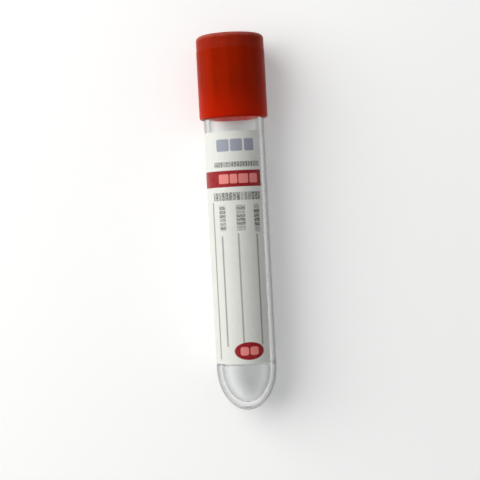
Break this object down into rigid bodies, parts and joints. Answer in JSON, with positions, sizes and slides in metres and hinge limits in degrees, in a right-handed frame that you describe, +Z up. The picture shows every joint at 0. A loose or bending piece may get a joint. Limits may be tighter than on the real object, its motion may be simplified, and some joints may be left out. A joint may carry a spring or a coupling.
{
  "type": "blood collection tube",
  "caption": "Clear round-bottomed sample tube lying on its side, closed by an orange-red plastic cap over a rubber stopper, with a white paper label that has a red band and a red oval.",
  "frame": {"origin": "centre of the bounding box's bottom face, on the table that the tube lies on", "axes": "+Y along the tube from its round end to the cap, +Z up out of the label's printed front, +X towards the clear window beside the label; the tube's axis slopes up to the cap by 0.86 degrees, because the cap is wider than the tube"},
  "size_m": [0.0148, 0.0814, 0.015],
  "materials": {
    "clear_plastic": "clear glossy moulded PET",
    "label_paper": "satin coated paper, printed",
    "cap_plastic": "slightly translucent glossy polyethylene, orange-red",
    "stopper_rubber": "matt butyl rubber, dark red"
  },
  "bodies": {
    "tube_body": {"tube": "clear_plastic", "label": "label_paper"},
    "closure": {"cap": "cap_plastic", "stopper": "stopper_rubber"}
  },
  "joints": [
    {"name": "closure_pull", "type": "slide", "parent": "tube_body", "child": "closure", "axis": [0, 0.9999, 0.015], "range_m": [0, 0.03]}
  ]
}
